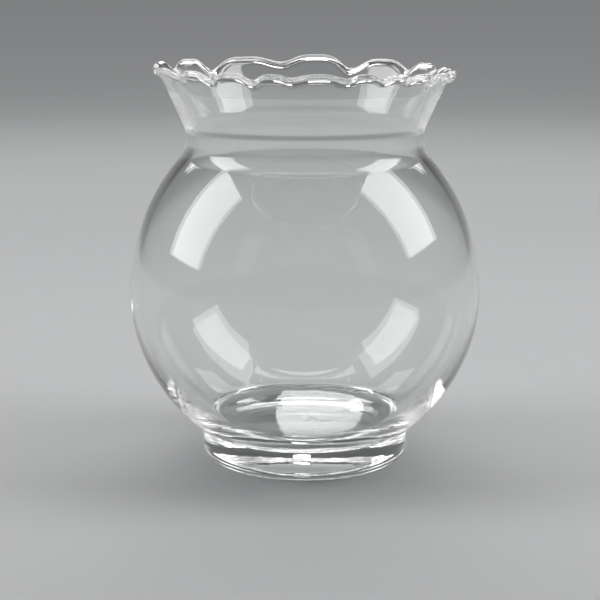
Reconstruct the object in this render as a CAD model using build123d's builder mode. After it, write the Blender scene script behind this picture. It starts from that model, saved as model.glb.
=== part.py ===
import math
import os

from build123d import *

# Clear glass rose bowl vase: a foot, a bowl, a flared collar and a crimped lip, fused one on the next.
# Millimetres, upright on the XY plane, centred on the Z axis.

os.makedirs("parts", exist_ok=True)

# Foot: a round pad whose side draws in to a standing ring, around a shallow dish
foot_radius = 40.1
foot_height = 11.7
foot_draw = 3.0
foot_draw_height = 5.0
ring_width = 6.0
dish_depth = 2.2
dish_edge = 1.5

# Bowl: a ball, a little rounder below its widest line than above it
bowl_radius = 67.75
lower_offset = 0.6
upper_offset = 9.5
wall = 3.0

# Floor inside the bowl: slightly hollow, on a thick base
floor_radius = 37.0
floor_edge_height = 2.3
floor_hollow = 1.5
floor_round = 10.0

# Neck and collar: a short upright band, then a straight flare
neck_radius = 45.7
neck_round = 8.0
neck_band = 6.0
collar_band = 2.8
collar_round = 5.0
collar_height = 18.0
flare = math.radians(24.4)

# Lip: its edge turns outwards, high on a crest, and lower and further over in a crimp
lip_wall = 2.2
lip_bend = 4.2
lip_root = 0.8
crest_rise = 5.4
crest_angle = math.radians(72.0)
crimp_angle = math.radians(95.0)
crimp_sharpness = 4
steps_per_side = 5

# Crimps, pressed in by hand: direction in degrees from +X towards +Y, depth as a share of a full crimp,
# and the depth of the crest that follows, below nought where that crest stands high
crimps = [
    (2, 0.95, 0.45),
    (22, 0.85, 0.25),
    (41, 0.95, 0.15),
    (70, 1.0, -0.15),
    (100, 0.5, 0.0),
    (133, 1.0, -0.05),
    (158, 0.8, -0.15),
    (188, 0.3, 0.0),
    (216, 0.35, 0.0),
    (233, 0.45, 0.0),
    (251, 0.5, 0.05),
    (265, 0.3, 0.05),
    (285, 0.4, 0.1),
    (300, 0.4, 0.2),
    (312, 0.45, 0.3),
    (325, 0.7, 0.35),
    (343, 0.8, 0.4),
]

# Heights and radii that follow from the sizes above
ring_outer = foot_radius - foot_draw
ring_inner = ring_outer - ring_width
lower_radius = bowl_radius - lower_offset
upper_radius = bowl_radius + upper_offset
inner_radius = bowl_radius - wall
neck_bore = neck_radius - wall
equator = foot_height + math.sqrt(lower_radius**2 - (foot_radius - lower_offset) ** 2)
neck_foot = equator + math.sqrt(upper_radius**2 - (neck_radius + upper_offset) ** 2)
bore_foot = equator + math.sqrt((upper_radius - wall) ** 2 - (neck_bore + upper_offset) ** 2)
neck_seam = neck_foot + neck_band
flare_start = neck_seam + collar_band
lip_seam = neck_seam + collar_height
lip_across = lip_wall / math.cos(flare)
seam_radius = neck_radius + (lip_seam - flare_start) * math.tan(flare)
floor_edge = foot_height + floor_edge_height


def corner(sketch, x, y):
    """The corner of a sketch that lies nearest to a point."""
    return sketch.vertices().sort_by_distance((x, y))[0]


# Foot
with BuildPart() as foot:
    with BuildSketch(Plane.XZ) as foot_section:
        with BuildLine():
            TangentArc((0, dish_depth), (ring_inner, 0), tangent=(1, 0))
            Line((ring_inner, 0), (ring_outer, 0))
            TangentArc((foot_radius, foot_draw_height), (ring_outer, 0), tangent=(0, -1))
            Line((foot_radius, foot_draw_height), (foot_radius, foot_height))
            Line((foot_radius, foot_height), (0, foot_height))
            Line((0, foot_height), (0, dish_depth))
        make_face()
        fillet(corner(foot_section, ring_inner, 0), dish_edge)
    revolve(axis=Axis.Z)

# Bowl
foot_sweep = math.degrees(math.asin((equator - foot_height) / lower_radius))
neck_sweep = math.degrees(math.asin((neck_foot - equator) / upper_radius))
bore_sweep = math.degrees(math.asin((bore_foot - equator) / (upper_radius - wall)))
# The inside of the lower bowl runs from the wall at the widest line to the edge of the floor
floor_drop = equator - floor_edge
floor_inset = inner_radius - floor_radius
hollow_radius = (floor_inset**2 + floor_drop**2) / (2 * floor_inset)
hollow_sweep = math.degrees(math.asin(floor_drop / hollow_radius))

with BuildPart() as bowl:
    with BuildSketch(Plane.XZ) as bowl_section:
        with BuildLine():
            Line((0, foot_height), (foot_radius, foot_height))
            CenterArc((lower_offset, equator), lower_radius, -foot_sweep, foot_sweep)
            CenterArc((-upper_offset, equator), upper_radius, 0, neck_sweep)
            Line((neck_radius, neck_foot), (neck_radius, neck_seam))
            Line((neck_radius, neck_seam), (neck_bore, neck_seam))
            Line((neck_bore, neck_seam), (neck_bore, bore_foot))
            CenterArc((-upper_offset, equator), upper_radius - wall, 0, bore_sweep)
            CenterArc((inner_radius - hollow_radius, equator), hollow_radius, -hollow_sweep, hollow_sweep)
            TangentArc((0, floor_edge - floor_hollow), (floor_radius, floor_edge), tangent=(1, 0))
            Line((0, floor_edge - floor_hollow), (0, foot_height))
        make_face()
        fillet(corner(bowl_section, neck_radius, neck_foot), neck_round)
        fillet(corner(bowl_section, neck_bore, bore_foot), neck_round + wall)
        fillet(corner(bowl_section, floor_radius, floor_edge), floor_round)
    revolve(axis=Axis.Z)

# Collar
bore_flare_start = flare_start + wall * math.tan(flare / 2)
with BuildPart() as collar:
    with BuildSketch(Plane.XZ) as collar_section:
        with BuildLine():
            Polyline(
                (neck_radius, neck_seam),
                (neck_radius, flare_start),
                (seam_radius, lip_seam),
                (seam_radius - lip_across, lip_seam),
                (neck_bore, bore_flare_start),
                (neck_bore, neck_seam),
                close=True,
            )
        make_face()
        fillet(corner(collar_section, neck_radius, flare_start), collar_round)
        fillet(corner(collar_section, neck_bore, bore_flare_start), collar_round + wall)
    revolve(axis=Axis.Z)


def lip_section(depth):
    """Draws the lip's section: a wall that leans out with the collar, bends over and ends in a round edge."""
    rise = lip_root + crest_rise * (1 - depth)
    bend = crest_angle + (crimp_angle - crest_angle) * depth - flare
    along = Vector(math.sin(flare), math.cos(flare))
    across = Vector(math.cos(flare), -math.sin(flare))
    root = Vector(seam_radius - lip_across / 2, lip_seam) + along * rise
    centre = root + across * lip_bend
    inside = Line((seam_radius - lip_across, lip_seam), root - across * (lip_wall / 2))
    over = CenterArc(centre, lip_bend + lip_wall / 2, 180 - math.degrees(flare), -math.degrees(bend))
    under = CenterArc(centre, lip_bend - lip_wall / 2, 180 - math.degrees(flare), -math.degrees(bend))
    TangentArc(over @ 1, under @ 1, tangent=over % 1)
    outside = Line((seam_radius, lip_seam), root + across * (lip_wall / 2))
    Line(inside @ 0, outside @ 0)


# Crimped lip: each crimp runs from the crest before it to the crest after it, halfway to its neighbours
with BuildPart() as crimped_lip:
    for index, (direction, depth, crest_after) in enumerate(crimps):
        direction_before, _, crest_before = crimps[index - 1]
        direction_after = crimps[(index + 1) % len(crimps)][0]
        before = (direction - direction_before) % 360 / 2
        after = (direction_after - direction) % 360 / 2
        for step in range(-steps_per_side, steps_per_side + 1):
            share = step / steps_per_side
            reach, crest = (after, crest_after) if step > 0 else (before, crest_before)
            press = math.cos(share * math.pi / 2) ** crimp_sharpness
            with BuildSketch(Plane.XZ.rotated((0, 0, direction + share * reach))):
                with BuildLine():
                    lip_section(crest + (depth - crest) * press)
                make_face()
        loft()

foot.part.label = "foot"
export_step(foot.part, "parts/foot.step")
bowl.part.label = "bowl"
export_step(bowl.part, "parts/bowl.step")
collar.part.label = "collar"
export_step(collar.part, "parts/collar.step")
crimped_lip.part.label = "crimped_lip"
export_step(crimped_lip.part, "parts/crimped_lip.step")
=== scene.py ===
import math

import bpy
from bpy.props import FloatProperty, FloatVectorProperty, IntProperty, PointerProperty
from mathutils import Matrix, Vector


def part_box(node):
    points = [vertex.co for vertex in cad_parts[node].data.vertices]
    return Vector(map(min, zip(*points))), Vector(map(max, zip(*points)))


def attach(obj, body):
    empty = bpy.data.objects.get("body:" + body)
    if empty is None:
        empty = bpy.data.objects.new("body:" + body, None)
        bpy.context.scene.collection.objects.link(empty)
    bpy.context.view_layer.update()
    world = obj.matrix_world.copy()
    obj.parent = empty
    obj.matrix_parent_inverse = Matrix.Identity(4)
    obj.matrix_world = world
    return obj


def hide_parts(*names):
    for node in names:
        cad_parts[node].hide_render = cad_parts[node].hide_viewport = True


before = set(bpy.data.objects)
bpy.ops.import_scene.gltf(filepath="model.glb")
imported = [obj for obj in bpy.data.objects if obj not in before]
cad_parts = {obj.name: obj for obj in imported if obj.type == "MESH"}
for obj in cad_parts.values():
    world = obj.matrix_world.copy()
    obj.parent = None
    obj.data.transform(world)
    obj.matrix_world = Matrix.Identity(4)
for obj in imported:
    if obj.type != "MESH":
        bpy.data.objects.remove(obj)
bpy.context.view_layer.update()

bl_info = {
    "name": "Rose Bowl Vase",
    "version": (1, 0, 0),
    "blender": (4, 5, 0),
    "location": "View3D > Sidebar > Vase",
    "description": "A clear glass rose bowl vase with a crimped lip, on a plain studio floor",
    "category": "Add Mesh",
}

BODY = "root"
FUSED = "fused"

# Crimps of the lip: direction in degrees from +X towards +Y, depth as a share of a full crimp,
# and the depth of the crest that follows, below nought where that crest stands high
CRIMPS = (
    (2, 0.95, 0.45),
    (22, 0.85, 0.25),
    (41, 0.95, 0.15),
    (70, 1.0, -0.15),
    (100, 0.5, 0.0),
    (133, 1.0, -0.05),
    (158, 0.8, -0.15),
    (188, 0.3, 0.0),
    (216, 0.35, 0.0),
    (233, 0.45, 0.0),
    (251, 0.5, 0.05),
    (265, 0.3, 0.05),
    (285, 0.4, 0.1),
    (300, 0.4, 0.2),
    (312, 0.45, 0.3),
    (325, 0.7, 0.35),
    (343, 0.8, 0.4),
)

# Soft lights: name, place, width and height in metres, and watts. All of them face LIGHTS_AIM.
SOFT_BOXES = (
    ("overhead_box", (0.0, 0.1, 1.25), 1.2, 0.25, 3.8),
    ("left_box", (-0.85, -0.05, 0.58), 0.5, 0.75, 4.7),
    ("right_box", (0.8, -0.03, 0.66), 0.52, 0.75, 4.9),
    ("back_box", (0.0, 0.95, 0.85), 2.0, 0.45, 7.0),
    ("low_back_box", (0.023, 1.25, 0.405), 0.12, 0.115, 0.17),
)
LIGHTS_AIM = (0.0, 0.0, 0.07)

# Light that the thick glass carries along inside it comes out again only after many bounces
BOUNCES = 200
BOUNCE_LIMITS = ("max_bounces", "transmission_bounces", "glossy_bounces", "transparent_max_bounces")


def millimetres(name, description, default):
    """A length property whose default is written in millimetres."""
    return FloatProperty(
        name=name,
        description=description,
        default=default / 1000,
        subtype="DISTANCE",
        unit="LENGTH",
        precision=4,
    )


def degrees(name, description, default):
    """An angle property whose default is written in degrees."""
    return FloatProperty(
        name=name,
        description=description,
        default=math.radians(default),
        subtype="ANGLE",
        unit="ROTATION",
    )


def colour(name, description, default):
    """A colour property."""
    return FloatVectorProperty(
        name=name,
        description=description,
        default=default,
        size=len(default),
        min=0,
        max=1,
        subtype="COLOR",
    )


class VaseSizes(bpy.types.PropertyGroup):
    """Sizes of the vase's pieces."""

    segments: IntProperty(name="Segments", description="Faces around the axis", default=360)
    lip_segments: IntProperty(name="Lip segments", description="Faces around the lip", default=720)
    step: millimetres("Step", "Length of a face along an outline", 1.7)

    foot_radius: millimetres("Foot radius", "Radius of the foot", 40.1)
    foot_height: FloatProperty(
        name="Foot height",
        description="Height of the crease between foot and bowl",
        default=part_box("foot")[1].z,
        subtype="DISTANCE",
        unit="LENGTH",
        precision=4,
    )
    foot_draw: millimetres("Foot draw", "How far the foot's side draws in to the ring", 3.0)
    foot_draw_height: millimetres(
        "Foot draw height", "Height at which the foot's side starts to draw in", 5.0
    )
    ring_width: millimetres("Ring width", "Width of the ring that the vase stands on", 6.0)
    dish_depth: millimetres("Dish depth", "Depth of the hollow under the foot", 2.2)
    dish_edge: millimetres("Dish edge", "Rounding of the edge between ring and hollow", 1.5)

    bowl_radius: millimetres("Bowl radius", "Radius of the bowl at its widest line", 67.75)
    lower_offset: millimetres("Lower offset", "Distance of the lower curve's centre from the axis", 0.6)
    upper_offset: millimetres("Upper offset", "Distance of the upper curve's centre beyond the axis", 9.5)
    wall: millimetres("Wall", "Thickness of the bowl's wall", 3.0)
    floor_radius: millimetres("Floor radius", "Radius of the floor inside the bowl", 37.0)
    floor_edge: millimetres("Floor edge", "Height of the floor's edge above the crease", 4.0)
    floor_hollow: millimetres("Floor hollow", "Depth of the floor's middle below its edge", 1.5)
    floor_round: millimetres("Floor round", "Rounding between floor and wall", 10.0)

    neck_radius: millimetres("Neck radius", "Radius of the neck", 45.7)
    neck_round: millimetres("Neck round", "Rounding between bowl and neck", 8.0)
    neck_band: millimetres("Neck band", "Upright band of the bowl above its shoulder", 6.0)
    collar_band: millimetres("Collar band", "Upright band of the collar below its flare", 2.8)
    collar_round: millimetres("Collar round", "Rounding between band and flare", 5.0)
    collar_height: millimetres("Collar height", "Height of the collar", 18.0)
    flare: degrees("Flare", "Lean of the collar's wall from upright", 24.4)

    lip_wall: millimetres("Lip wall", "Thickness of the lip", 2.2)
    lip_bend: millimetres("Lip bend", "Radius of the lip's outward bend", 4.2)
    lip_root: millimetres("Lip root", "Straight length of the lip below its bend in the deepest crimp", 0.8)
    crest_rise: millimetres("Crest rise", "Length that a crest has more than the deepest crimp", 5.4)
    crest_angle: degrees("Crest angle", "Lean of the lip's edge at a crest", 72.0)
    crimp_angle: degrees("Crimp angle", "Lean of the lip's edge in the deepest crimp", 95.0)
    crimp_sharpness: FloatProperty(
        name="Crimp sharpness",
        description="Power that narrows the crimps and widens the crests",
        default=4.0,
    )


class VaseGlass(bpy.types.PropertyGroup):
    """Finish of the glass."""

    clear: colour("Clear glass", "Tint of the thin wall", (0.985, 0.99, 0.988))
    heavy: colour("Heavy glass", "Tint of the thick base", (0.95, 0.972, 0.965))
    bend: FloatProperty(name="Refraction", description="Refractive index of the glass", default=1.5)
    polish: FloatProperty(name="Polish", description="Roughness of the clean polished surface", default=0.004)
    haze: FloatProperty(name="Haze", description="Roughness added where the surface is handled", default=0.02)
    wave: millimetres("Wave", "Height of the slow waves that working leaves in the surface", 0.06)
    base_waves: FloatProperty(
        name="Base waves",
        description="How much stronger the fine waves in the thick base are than the slow ones",
        default=3.0,
    )
    base_top: millimetres("Base top", "Height at which the look of the thick base starts", 30.0)
    base_full: millimetres("Base full", "Height below which the look of the thick base is full", 12.0)
    slow_scale: FloatProperty(name="Slow scale", description="Slow waves in a metre", default=22.0)
    fine_scale: FloatProperty(name="Fine scale", description="Fine waves and marks in a metre", default=60.0)


class VaseStage(bpy.types.PropertyGroup):
    """Studio around the vase."""

    floor: colour("Floor", "Colour of the floor", (0.48, 0.485, 0.49))
    # The backdrop colour is painted shade: far out the floor's glow darkens to it, as if the lamps' light
    # fell off on the far floor and sweep.
    backdrop: colour("Backdrop", "Colour of the sweep far behind the vase", (0.2, 0.203, 0.207))
    fill: colour("Fill", "Colour of the dim light from all round", (0.10, 0.10, 0.105))
    sweep_radius: FloatProperty(
        name="Sweep radius",
        description="Radius of the round floor with its sweep",
        default=2.2,
        subtype="DISTANCE",
        unit="LENGTH",
    )
    camera_distance: millimetres("Camera distance", "Level distance of the camera from the axis", 609.6)
    camera_height: millimetres("Camera height", "Height of the camera above the floor", 189.2)
    camera_pitch: degrees("Camera pitch", "Angle at which the camera looks down", 11.82)
    camera_yaw: degrees("Camera yaw", "Angle at which the camera looks past the axis", 0.18)
    camera_lens: FloatProperty(
        name="Camera lens", description="Focal length in millimetres on a 36 mm sensor", default=95.6
    )


class Term:
    """One output socket of a node tree. Sums written with it add Math nodes to that tree."""

    def __init__(self, nodes, socket):
        self.nodes = nodes
        self.socket = socket

    def maths(self, operation, *others):
        return self.nodes.maths(operation, self, *others)

    def __add__(self, other):
        return self.maths("ADD", other)

    def __radd__(self, other):
        return self.nodes.maths("ADD", other, self)

    def __sub__(self, other):
        return self.maths("SUBTRACT", other)

    def __rsub__(self, other):
        return self.nodes.maths("SUBTRACT", other, self)

    def __mul__(self, other):
        return self.maths("MULTIPLY", other)

    def __rmul__(self, other):
        return self.nodes.maths("MULTIPLY", other, self)

    def __truediv__(self, other):
        return self.maths("DIVIDE", other)

    def __rtruediv__(self, other):
        return self.nodes.maths("DIVIDE", other, self)

    def __pow__(self, other):
        return self.maths("POWER", other)


class Nodes:
    """A node tree being written."""

    def __init__(self, tree):
        self.tree = tree

    def add(self, kind, settings=None, sockets=None, output=0):
        """Adds a node with its settings, feeds its sockets, and gives the wanted output as a Term."""
        node = self.tree.nodes.new(kind)
        for name, value in (settings or {}).items():
            setattr(node, name, value)
        for key, value in (sockets or {}).items():
            if isinstance(value, Term):
                self.tree.links.new(value.socket, node.inputs[key])
            else:
                node.inputs[key].default_value = value
        if len(node.outputs) == 0:
            return None
        return Term(self, node.outputs[output])

    def maths(self, operation, *values):
        return self.add("ShaderNodeMath", {"operation": operation}, dict(enumerate(values)))

    def vector(self, x, y, z):
        return self.add("ShaderNodeCombineXYZ", None, {"X": x, "Y": y, "Z": z})

    def smooth_step(self, value, start, end):
        return self.add(
            "ShaderNodeMapRange",
            {"interpolation_type": "SMOOTHSTEP"},
            {"Value": value, "From Min": start, "From Max": end},
        )

    def parts(self, vector):
        split = self.add("ShaderNodeSeparateXYZ", None, {"Vector": vector})
        return [Term(self, socket) for socket in split.socket.node.outputs]


def distance(a, b):
    return math.hypot(b[0] - a[0], b[1] - a[1])


def steps_for(length, step):
    return max(2, math.ceil(length / step))


def straight(start, end, step):
    """Points on a straight run."""
    count = steps_for(distance(start, end), step)
    return [
        (start[0] + (end[0] - start[0]) * i / count, start[1] + (end[1] - start[1]) * i / count)
        for i in range(count + 1)
    ]


def arc(centre, radius, start, sweep, step):
    """Points on an arc about a centre."""
    count = steps_for(abs(radius * sweep), step)
    angles = [start + sweep * i / count for i in range(count + 1)]
    return [(centre[0] + radius * math.cos(a), centre[1] + radius * math.sin(a)) for a in angles]


def tangent_arc(start, heading, end, step):
    """Points on the arc that leaves a point along a heading and ends at another."""
    along = Vector(heading).normalized()
    side = Vector((-along.y, along.x))
    chord = Vector(end) - Vector(start)
    radius = chord.length_squared / (2 * chord.dot(side))
    centre = Vector(start) + side * radius
    sweep = 2 * math.atan2(chord.dot(side), chord.dot(along))
    first = Vector(start) - centre
    return arc(centre, abs(radius), math.atan2(first.y, first.x), sweep, step)


def shortened(run, length):
    """A run of points without the last stretch of that length."""
    kept = list(run)
    while distance(kept[-2], kept[-1]) <= length:
        length -= distance(kept[-2], kept[-1])
        kept.pop()
    share = length / distance(kept[-2], kept[-1])
    last = Vector(kept[-1]).lerp(Vector(kept[-2]), share)
    kept[-1] = (last.x, last.y)
    return kept


def rounded(first, second, radius, step):
    """Two runs that meet at a corner, joined into one run with the corner rounded."""
    corner = Vector(first[-1])
    turn = (corner - Vector(first[-2])).angle(Vector(second[1]) - corner)
    reach = radius * math.tan(turn / 2)
    before = shortened(first, reach)
    after = shortened(second[::-1], reach)[::-1]
    start = Vector(before[-1])
    end = Vector(after[0])
    count = steps_for(radius * turn, step / 2)
    bend = []
    for i in range(1, count):
        t = i / count
        point = start * (1 - t) ** 2 + corner * (2 * t * (1 - t)) + end * t**2
        bend.append((point.x, point.y))
    return before + bend + after


def heights(size):
    """Heights and radii that follow from the vase's sizes."""
    made = {}
    made["lower"] = size.bowl_radius - size.lower_offset
    made["upper"] = size.bowl_radius + size.upper_offset
    made["bore"] = size.neck_radius - size.wall
    made["equator"] = size.foot_height + math.sqrt(
        made["lower"] ** 2 - (size.foot_radius - size.lower_offset) ** 2
    )
    made["shoulder"] = made["equator"] + math.sqrt(
        made["upper"] ** 2 - (size.neck_radius + size.upper_offset) ** 2
    )
    made["neck_seam"] = made["shoulder"] + size.neck_band
    made["lip_seam"] = made["neck_seam"] + size.collar_height
    made["flare_start"] = made["neck_seam"] + size.collar_band
    made["lip_across"] = size.lip_wall / math.cos(size.flare)
    made["lip_radius"] = size.neck_radius + (made["lip_seam"] - made["flare_start"]) * math.tan(size.flare)
    return made


def foot_outline(size):
    """The foot from the middle of its fused top, down its side and to the middle of its hollow."""
    ring_outer = size.foot_radius - size.foot_draw
    ring_inner = ring_outer - size.ring_width
    drawn = (size.foot_radius, size.foot_draw_height)
    side = straight((size.foot_radius, size.foot_height), drawn, size.step)
    edge = tangent_arc(drawn, (0, -1), (ring_outer, 0), size.step / 2)
    ring = straight((ring_outer, 0), (ring_inner, 0), size.step)
    dish = tangent_arc((0, size.dish_depth), (1, 0), (ring_inner, 0), size.step)[::-1]
    under = rounded(ring, dish, size.dish_edge, size.step)
    return [
        (True, [(0, size.foot_height), (size.foot_radius, size.foot_height)]),
        (False, side + edge[1:] + under[1:]),
    ]


def bowl_outline(size):
    """The bowl from the middle of its floor, up inside, over the fused neck and down outside."""
    made = heights(size)
    equator = made["equator"]
    bore = made["bore"]
    floor = size.foot_height + size.floor_edge
    inner = size.bowl_radius - size.wall
    drop = equator - floor
    inset = inner - size.floor_radius
    hollow = (inset**2 + drop**2) / (2 * inset)
    hollow_sweep = math.asin(drop / hollow)
    inner_upper = made["upper"] - size.wall
    bore_foot = equator + math.sqrt(inner_upper**2 - (bore + size.upper_offset) ** 2)
    bore_sweep = math.asin((bore_foot - equator) / inner_upper)
    neck_sweep = math.asin((made["shoulder"] - equator) / made["upper"])
    foot_sweep = math.asin((equator - size.foot_height) / made["lower"])
    floor_run = tangent_arc((0, floor - size.floor_hollow), (1, 0), (size.floor_radius, floor), size.step)
    lower_in = arc((inner - hollow, equator), hollow, -hollow_sweep, hollow_sweep, size.step)
    upper_in = arc((-size.upper_offset, equator), inner_upper, 0, bore_sweep, size.step)
    neck_in = straight((bore, bore_foot), (bore, made["neck_seam"]), size.step / 2)
    neck_out = straight(
        (size.neck_radius, made["neck_seam"]), (size.neck_radius, made["shoulder"]), size.step / 2
    )
    upper_out = arc((-size.upper_offset, equator), made["upper"], neck_sweep, -neck_sweep, size.step)
    lower_out = arc((size.lower_offset, equator), made["lower"], 0, -foot_sweep, size.step)
    inside = rounded(floor_run, lower_in, size.floor_round, size.step)
    inside = rounded(inside + upper_in[1:], neck_in, size.neck_round + size.wall, size.step)
    outside = rounded(neck_out, upper_out, size.neck_round, size.step)
    return [
        (False, inside),
        (True, [inside[-1], outside[0]]),
        (False, outside + lower_out[1:]),
        (True, [lower_out[-1], (0, size.foot_height)]),
    ]


def collar_outline(size):
    """The collar up inside, across its fused top, down outside and across its fused foot."""
    made = heights(size)
    bore = made["bore"]
    bore_flare = made["flare_start"] + size.wall * math.tan(size.flare / 2)
    step = size.step / 2
    band_in = straight((bore, made["neck_seam"]), (bore, bore_flare), step)
    flare_in = straight((bore, bore_flare), (made["lip_radius"] - made["lip_across"], made["lip_seam"]), step)
    flare_out = straight(
        (made["lip_radius"], made["lip_seam"]), (size.neck_radius, made["flare_start"]), step
    )
    band_out = straight((size.neck_radius, made["flare_start"]), (size.neck_radius, made["neck_seam"]), step)
    inside = rounded(band_in, flare_in, size.collar_round + size.wall, size.step)
    outside = rounded(flare_out, band_out, size.collar_round, size.step)
    return [
        (False, inside),
        (True, [inside[-1], outside[0]]),
        (False, outside),
        (True, [outside[-1], inside[0]]),
    ]


def lip_outline(size):
    """The lip's section laid straight.

    A point holds its place across the wall, its share of the root (below 0) or of the bend,
    and how far it lies past the bend.
    """
    half = size.lip_wall / 2
    root_steps = 8
    bend_steps = 14
    edge_steps = 12
    shares = [i / root_steps for i in range(-root_steps, 0)] + [i / bend_steps for i in range(bend_steps + 1)]
    turns = [math.pi * i / edge_steps for i in range(1, edge_steps)]
    inside = [(-half, share, 0) for share in shares]
    rim = [(-half * math.cos(turn), 1, half * math.sin(turn)) for turn in turns]
    outside = [(half, share, 0) for share in reversed(shares)]
    return [(False, inside + rim + outside), (True, [outside[-1], inside[0]])]


def outline_mesh(name, runs):
    """A line of points through the runs, each marked where the face that starts at it is a fused one."""
    points = []
    marks = []
    for fused, run in runs:
        for point in run[:-1]:
            points.append(point)
            marks.append(fused)
    points.append(runs[-1][1][-1])
    marks.append(False)
    places = [p if len(p) == 3 else (p[0], 0, p[1]) for p in points]
    mesh = bpy.data.meshes.new(name)
    mesh.from_pydata(places, [(i, i + 1) for i in range(len(places) - 1)], [])
    mesh.attributes.new(FUSED, "FLOAT", "POINT").data.foreach_set("value", [float(m) for m in marks])
    return mesh


def start_tree(name, inputs):
    """A Geometry Nodes tree with named inputs, and a Term for each of them."""
    tree = bpy.data.node_groups.new(name, "GeometryNodeTree")
    tree.is_modifier = True
    tree.interface.new_socket("Geometry", in_out="OUTPUT", socket_type="NodeSocketGeometry")
    tree.interface.new_socket("Outline", in_out="INPUT", socket_type="NodeSocketGeometry")
    for label, kind in inputs.items():
        tree.interface.new_socket(label, in_out="INPUT", socket_type=kind)
    nodes = Nodes(tree)
    given = nodes.add("NodeGroupInput").socket.node
    return nodes, {socket.name: Term(nodes, socket) for socket in given.outputs if socket.name}


def turn_outline(nodes, given, place):
    """Lays a grid along the outline and around the axis, puts each point in its place, and closes it."""
    outline = given["Outline"]
    count = nodes.add(
        "GeometryNodeAttributeDomainSize", {"component": "MESH"}, {"Geometry": outline}, "Point Count"
    )
    grid = nodes.add(
        "GeometryNodeMeshGrid",
        None,
        {"Size X": 1.0, "Size Y": 1.0, "Vertices X": count, "Vertices Y": given["Segments"] + 1},
        "Mesh",
    )
    position = nodes.add("GeometryNodeInputPosition")
    across, around, _ = nodes.parts(position)
    row = (across + 0.5) * (count - 1)
    mark = nodes.add(
        "GeometryNodeInputNamedAttribute", {"data_type": "FLOAT"}, {"Name": FUSED}, "Attribute"
    )
    face_mark = nodes.add(
        "GeometryNodeSampleIndex",
        {"data_type": "FLOAT", "domain": "POINT"},
        {"Geometry": outline, "Value": mark, "Index": row.maths("FLOOR")},
    )
    marked = nodes.add(
        "GeometryNodeStoreNamedAttribute",
        {"data_type": "FLOAT", "domain": "FACE"},
        {"Geometry": grid, "Name": FUSED, "Value": face_mark},
    )
    point = nodes.add(
        "GeometryNodeSampleIndex",
        {"data_type": "FLOAT_VECTOR", "domain": "POINT"},
        {"Geometry": outline, "Value": position, "Index": (row + 0.5).maths("FLOOR")},
    )
    angle = (around + 0.5) * (2 * math.pi)
    radius, height = place(nodes.parts(point), angle)
    placed = nodes.add(
        "GeometryNodeSetPosition",
        None,
        {
            "Geometry": marked,
            "Position": nodes.vector(radius * angle.maths("COSINE"), radius * angle.maths("SINE"), height),
        },
    )
    closed = nodes.add("GeometryNodeMergeByDistance", None, {"Geometry": placed, "Distance": 1e-6})
    smooth = nodes.add("GeometryNodeSetShadeSmooth", None, {"Geometry": closed, "Shade Smooth": True})
    sharp = nodes.add(
        "GeometryNodeSetShadeSmooth",
        {"domain": "EDGE"},
        {
            "Geometry": smooth,
            "Selection": mark.maths("GREATER_THAN", 0.25) * mark.maths("LESS_THAN", 0.75),
            "Shade Smooth": False,
        },
    )
    real = nodes.add("GeometryNodeRealizeInstances", None, {"Geometry": sharp})
    glass = nodes.add("GeometryNodeSetMaterial", None, {"Geometry": real, "Material": given["Glass"]})
    joined = nodes.add(
        "GeometryNodeSetMaterial",
        None,
        {
            "Geometry": glass,
            "Selection": mark.maths("GREATER_THAN", 0.5),
            "Material": given["Fused face"],
        },
    )
    nodes.add("NodeGroupOutput", None, {"Geometry": joined})
    return nodes.tree


def turned_tree():
    """Turns an outline of radius and height about the vase's axis."""
    name = "Turned outline"
    if name in bpy.data.node_groups:
        return bpy.data.node_groups[name]
    nodes, given = start_tree(
        name,
        {
            "Segments": "NodeSocketInt",
            "Glass": "NodeSocketMaterial",
            "Fused face": "NodeSocketMaterial",
        },
    )
    return turn_outline(nodes, given, lambda point, angle: (point[0], point[2]))


def lip_stations():
    """Crimps and crests in turn around the lip, each as direction in degrees and depth."""
    stations = []
    for index, (direction, depth, crest) in enumerate(CRIMPS):
        gap = (CRIMPS[(index + 1) % len(CRIMPS)][0] - direction) % 360
        stations += [(direction, depth), (direction + gap / 2, crest)]
    return stations


def lip_depth(angle, sharpness):
    """How deep the lip is pressed at an angle: near 0 on a crest, 1 in a full crimp."""
    stations = lip_stations()
    depth_here = 0
    for index, (direction, depth) in enumerate(stations):
        before = math.radians((direction - stations[index - 1][0]) % 360)
        after = math.radians((stations[(index + 1) % len(stations)][0] - direction) % 360)
        away = (angle - math.radians(direction)).maths("WRAP", math.pi, -math.pi)
        turn = (away / after).maths("MAXIMUM", away / -before).maths("MINIMUM", 1) * (math.pi / 2)
        is_crimp = index % 2 == 0
        weight = turn.maths("COSINE") ** sharpness if is_crimp else 1 - turn.maths("SINE") ** sharpness
        depth_here += depth * weight
    return depth_here


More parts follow.
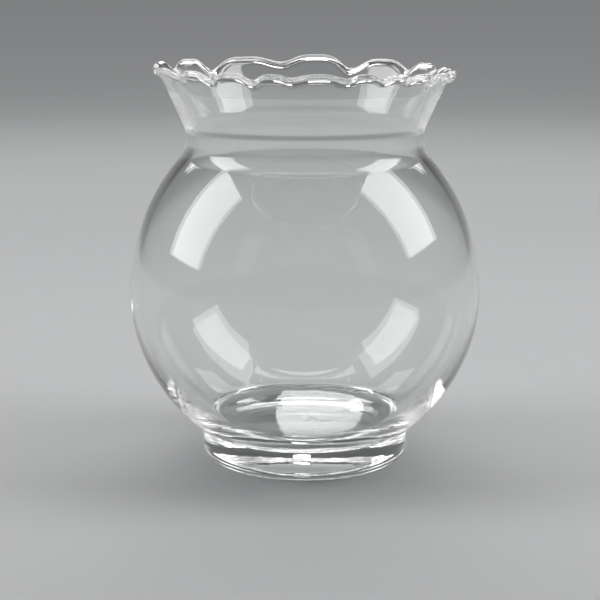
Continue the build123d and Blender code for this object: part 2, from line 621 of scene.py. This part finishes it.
def crimped_tree():
    """Turns the lip's section about the axis, lower and bent further over in a crimp than on a crest."""
    nodes, given = start_tree(
        "Crimped lip",
        {
            "Segments": "NodeSocketInt",
            "Flare": "NodeSocketFloat",
            "Seam radius": "NodeSocketFloat",
            "Seam height": "NodeSocketFloat",
            "Root": "NodeSocketFloat",
            "Crest rise": "NodeSocketFloat",
            "Bend radius": "NodeSocketFloat",
            "Crest angle": "NodeSocketFloat",
            "Crimp angle": "NodeSocketFloat",
            "Sharpness": "NodeSocketFloat",
            "Glass": "NodeSocketMaterial",
            "Fused face": "NodeSocketMaterial",
        },
    )

    def place(point, angle):
        across, share, past = point
        flare = given["Flare"]
        flare_sine = flare.maths("SINE")
        flare_cosine = flare.maths("COSINE")
        depth = lip_depth(angle, given["Sharpness"])
        rise = given["Root"] + given["Crest rise"] * (1 - depth)
        bend = given["Crest angle"] + (given["Crimp angle"] - given["Crest angle"]) * depth - flare
        below = (share * -1).maths("MAXIMUM", 0)
        lean = flare + bend * share.maths("MAXIMUM", 0)
        sine = lean.maths("SINE")
        cosine = lean.maths("COSINE")
        reach = rise * (1 - below) + across * below * flare_sine / flare_cosine
        out = reach * flare_sine + given["Bend radius"] * (flare_cosine - cosine)
        up = reach * flare_cosine + given["Bend radius"] * (sine - flare_sine)
        radius = given["Seam radius"] + out + across * cosine + past * sine
        height = given["Seam height"] + up - across * sine + past * cosine
        return radius, height

    return turn_outline(nodes, given, place)


def drop_empty_slots(mesh):
    """Takes the empty material slots off a mesh whose faces don't use them."""
    for index in reversed(range(len(mesh.materials))):
        if mesh.materials[index] is None:
            mesh.materials.pop(index=index)


def make_piece(name, mesh, tree, values, node):
    """Runs a tree on an outline, keeps the result as a plain mesh and lets it stand for a CAD node."""
    piece = bpy.data.objects.new(name, mesh)
    bpy.context.scene.collection.objects.link(piece)
    modifier = piece.modifiers.new(tree.name, "NODES")
    modifier.node_group = tree
    for item in tree.interface.items_tree:
        if item.in_out == "INPUT" and item.name in values:
            modifier[item.identifier] = values[item.name]
    made = bpy.data.meshes.new_from_object(piece.evaluated_get(bpy.context.evaluated_depsgraph_get()))
    piece.modifiers.clear()
    piece.data = made
    made.name = name
    bpy.data.meshes.remove(mesh)
    if len(made.polygons) == 0:
        raise RuntimeError(f"{name} has no faces")
    drop_empty_slots(made)
    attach(piece, BODY)
    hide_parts(node)
    return piece


def start_material(name):
    """An empty node material and its output node's tree."""
    material = bpy.data.materials.new(name)
    material.use_nodes = True
    material.node_tree.nodes.clear()
    return material, Nodes(material.node_tree)


def glass_material(look):
    """Polished clear glass with slow waves and faint marks, wavier and more tinted in the thick base."""
    name = "Clear glass"
    if name in bpy.data.materials:
        return bpy.data.materials[name]
    material, nodes = start_material(name)
    place = nodes.add("ShaderNodeTexCoord", None, None, "Object")
    height = nodes.parts(place)[2]
    slow = nodes.add(
        "ShaderNodeTexNoise", None, {"Vector": place, "Scale": look.slow_scale, "Detail": 1.0}, "Fac"
    )
    fine = nodes.add(
        "ShaderNodeTexNoise", None, {"Vector": place, "Scale": look.fine_scale, "Detail": 4.0}, "Fac"
    )
    uneven = slow * 0.008
    base = nodes.smooth_step(height + uneven, look.base_top, look.base_full)
    tint = nodes.add(
        "ShaderNodeMix",
        {"data_type": "RGBA"},
        {"Factor": base * 0.8 + fine * 0.2, "A": (*look.clear, 1.0), "B": (*look.heavy, 1.0)},
        "Result",
    )
    marks = nodes.add(
        "ShaderNodeMapRange",
        None,
        {
            "Value": fine,
            "From Min": 0.5,
            "From Max": 0.75,
            "To Min": look.polish,
            "To Max": look.polish + look.haze,
        },
    )
    swell = slow + fine * base * look.base_waves
    waves = nodes.add(
        "ShaderNodeBump", None, {"Strength": 1.0, "Distance": look.wave, "Height": swell}, "Normal"
    )
    shader = nodes.add(
        "ShaderNodeBsdfPrincipled",
        None,
        {
            "Base Color": tint,
            "Roughness": marks,
            "Normal": waves,
            "IOR": look.bend,
            "Transmission Weight": 1.0,
        },
    )
    nodes.add("ShaderNodeOutputMaterial", None, {"Surface": shader})
    return material


def fused_material():
    """The face inside the glass where two pieces are fused: nothing shows there."""
    name = "Fused glass"
    if name in bpy.data.materials:
        return bpy.data.materials[name]
    material, nodes = start_material(name)
    shader = nodes.add(
        "ShaderNodeBsdfPrincipled", None, {"Base Color": (1.0, 1.0, 1.0, 1.0), "Alpha": 0.0}
    )
    nodes.add("ShaderNodeOutputMaterial", None, {"Surface": shader})
    return material


def floor_material(stage):
    """Pale matt floor with a faint mottle. Far off it glows as a plain backdrop to the eye and in the glass,
    darkened further out with painted shade.
    """
    matt_radius, plain_radius = 0.2, 1.0
    pale_radius, dark_radius = 0.6, 2.1
    plain_height, matt_height = 0.2, 0.6
    mottle_depth = 0.015
    material, nodes = start_material("Pale floor")
    place = nodes.add("ShaderNodeTexCoord", None, None, "Object")
    mottle = nodes.add("ShaderNodeTexNoise", None, {"Vector": place, "Scale": 9.0, "Detail": 3.0}, "Fac")
    tone = nodes.add(
        "ShaderNodeMix",
        {"data_type": "RGBA"},
        {
            "Factor": mottle,
            "A": (*(c * (1 - mottle_depth) for c in stage.floor), 1.0),
            "B": (*(c * (1 + mottle_depth) for c in stage.floor), 1.0),
        },
        "Result",
    )
    matt = nodes.add("ShaderNodeBsdfPrincipled", None, {"Base Color": tone, "Roughness": 0.7})
    x, y, z = nodes.parts(place)
    away = (x * x + y * y) ** 0.5
    far = nodes.smooth_step(away, matt_radius, plain_radius)
    # Painted shade: further out the glow darkens towards the backdrop colour, as the lamps' light would fall
    # off on the far floor and sweep.
    low = nodes.smooth_step(z, matt_height, plain_height)
    painted_far_shade = nodes.smooth_step(away, pale_radius, dark_radius)
    sweep = nodes.add(
        "ShaderNodeMix",
        {"data_type": "RGBA"},
        {"Factor": painted_far_shade, "A": tone, "B": (*stage.backdrop, 1.0)},
        "Result",
    )
    plain = nodes.add("ShaderNodeEmission", None, {"Color": sweep, "Strength": 1.0})
    rays = ("Is Camera Ray", "Is Glossy Ray", "Is Transmission Ray")
    seen = sum(nodes.add("ShaderNodeLightPath", None, None, ray) for ray in rays).maths("MINIMUM", 1)
    shader = nodes.add("ShaderNodeMixShader", None, {0: far * low * seen, 1: matt, 2: plain})
    nodes.add("ShaderNodeOutputMaterial", None, {"Surface": shader})
    return material


def turned_piece(context, name, runs, node):
    """A piece of glass turned from an outline."""
    scene = context.scene
    values = {
        "Segments": scene.vase_sizes.segments,
        "Glass": glass_material(scene.vase_glass),
        "Fused face": fused_material(),
    }
    return make_piece(name, outline_mesh(name, runs), turned_tree(), values, node)


class VASE_OT_foot(bpy.types.Operator):
    """Makes the foot: a round pad with a soft edge, a standing ring and a shallow hollow under it"""

    bl_idname = "vase.foot"
    bl_label = "Foot"

    def execute(self, context):
        turned_piece(context, "glass_foot", foot_outline(context.scene.vase_sizes), "foot")
        return {"FINISHED"}


class VASE_OT_bowl(bpy.types.Operator):
    """Makes the bowl: a hollow ball on a thick floor, up to the neck"""

    bl_idname = "vase.bowl"
    bl_label = "Bowl"

    def execute(self, context):
        turned_piece(context, "glass_bowl", bowl_outline(context.scene.vase_sizes), "bowl")
        return {"FINISHED"}


class VASE_OT_collar(bpy.types.Operator):
    """Makes the collar: a short upright band and a straight flare above it"""

    bl_idname = "vase.collar"
    bl_label = "Collar"

    def execute(self, context):
        turned_piece(context, "glass_collar", collar_outline(context.scene.vase_sizes), "collar")
        return {"FINISHED"}


class VASE_OT_lip(bpy.types.Operator):
    """Makes the lip: an out-turned edge, bent over in every crimp"""

    bl_idname = "vase.lip"
    bl_label = "Crimped lip"

    def execute(self, context):
        size = context.scene.vase_sizes
        made = heights(size)
        values = {
            "Segments": size.lip_segments,
            "Flare": size.flare,
            "Seam radius": made["lip_radius"] - made["lip_across"] / 2,
            "Seam height": made["lip_seam"],
            "Root": size.lip_root,
            "Crest rise": size.crest_rise,
            "Bend radius": size.lip_bend,
            "Crest angle": size.crest_angle,
            "Crimp angle": size.crimp_angle,
            "Sharpness": size.crimp_sharpness,
            "Glass": glass_material(context.scene.vase_glass),
            "Fused face": fused_material(),
        }
        name = "glass_lip"
        section = outline_mesh(name, lip_outline(size))
        make_piece(name, section, crimped_tree(), values, "crimped_lip")
        return {"FINISHED"}


def soft_box(name, place, aim, width, height, watts):
    """A rectangular soft light that faces a point."""
    light = bpy.data.lights.new(name, "AREA")
    light.shape = "RECTANGLE"
    light.size = width
    light.size_y = height
    light.energy = watts
    lamp = bpy.data.objects.new(name, light)
    lamp.location = place
    lamp.rotation_euler = (Vector(aim) - Vector(place)).to_track_quat("-Z", "Y").to_euler()
    bpy.context.scene.collection.objects.link(lamp)


class VASE_OT_stage(bpy.types.Operator):
    """Makes the floor with its sweep, the soft lights and the camera"""

    bl_idname = "vase.stage"
    bl_label = "Stage"

    def execute(self, context):
        scene = context.scene
        stage = scene.vase_stage
        self.make_floor(stage)
        self.make_lights(scene, stage)
        self.make_camera(scene, stage)
        scene.view_settings.view_transform = "Standard"
        for limit in BOUNCE_LIMITS:
            setattr(scene.cycles, limit, BOUNCES)
        return {"FINISHED"}

    def make_floor(self, stage):
        level = -0.0002
        rise = 0.7
        top = 1.6
        around = 96
        flat_radius = stage.sweep_radius - rise
        flat = [(0.05 * i, level) for i in range(5)]
        flat += straight((0.25, level), (flat_radius, level), 0.1)
        curve = arc((flat_radius, level + rise), rise, -math.pi / 2, math.pi / 2, 0.08)
        wall = straight((stage.sweep_radius, level + rise), (stage.sweep_radius, top), 0.1)
        outline = flat + curve[1:] + wall[1:]
        points = [(0.0, 0.0, level)]
        for radius, height in outline[1:]:
            for i in range(around):
                turn = 2 * math.pi * i / around
                points.append((radius * math.cos(turn), radius * math.sin(turn), height))
        faces = [(0, 1 + i, 1 + (i + 1) % around) for i in range(around)]
        for row in range(len(outline) - 2):
            low = 1 + row * around
            for i in range(around):
                j = (i + 1) % around
                faces.append((low + i, low + around + i, low + around + j, low + j))
        mesh = bpy.data.meshes.new("studio_floor")
        mesh.from_pydata(points, [], faces)
        mesh.shade_smooth()
        mesh.materials.append(floor_material(stage))
        floor = bpy.data.objects.new("studio_floor", mesh)
        bpy.context.scene.collection.objects.link(floor)

    def make_lights(self, scene, stage):
        world = bpy.data.worlds.new("Studio fill")
        world.use_nodes = True
        world.node_tree.nodes["Background"].inputs["Color"].default_value = (*stage.fill, 1.0)
        scene.world = world
        for name, place, width, height, watts in SOFT_BOXES:
            soft_box(name, place, LIGHTS_AIM, width, height, watts)

    def make_camera(self, scene, stage):
        camera = bpy.data.cameras.new("camera")
        camera.lens = stage.camera_lens
        camera.sensor_width = 36.0
        viewer = bpy.data.objects.new("camera", camera)
        viewer.location = (0.0, -stage.camera_distance, stage.camera_height)
        viewer.rotation_euler = (math.pi / 2 - stage.camera_pitch, 0.0, stage.camera_yaw)
        scene.collection.objects.link(viewer)
        scene.camera = viewer


class VASE_PT_panel(bpy.types.Panel):
    """Lists the vase's pieces and their sizes"""

    bl_idname = "VASE_PT_panel"
    bl_label = "Rose Bowl Vase"
    bl_space_type = "VIEW_3D"
    bl_region_type = "UI"
    bl_category = "Vase"

    def draw(self, context):
        column = self.layout.column()
        for operator in OPERATORS:
            column.operator(operator.bl_idname)
        for group in (context.scene.vase_sizes, context.scene.vase_glass, context.scene.vase_stage):
            box = self.layout.box()
            for name in group.__annotations__:
                box.prop(group, name)


GROUPS = {"vase_sizes": VaseSizes, "vase_glass": VaseGlass, "vase_stage": VaseStage}
OPERATORS = [VASE_OT_foot, VASE_OT_bowl, VASE_OT_collar, VASE_OT_lip, VASE_OT_stage]


def register():
    for group in GROUPS.values():
        bpy.utils.register_class(group)
    for name, group in GROUPS.items():
        setattr(bpy.types.Scene, name, PointerProperty(type=group))
    for cls in (*OPERATORS, VASE_PT_panel):
        bpy.utils.register_class(cls)


def unregister():
    for cls in (VASE_PT_panel, *reversed(OPERATORS)):
        bpy.utils.unregister_class(cls)
    for name in GROUPS:
        delattr(bpy.types.Scene, name)
    for group in reversed(GROUPS.values()):
        bpy.utils.unregister_class(group)


def main():
    register()
    bpy.ops.vase.foot()
    bpy.ops.vase.bowl()
    bpy.ops.vase.collar()
    bpy.ops.vase.lip()
    bpy.ops.vase.stage()


if __name__ == "__main__":
    main()
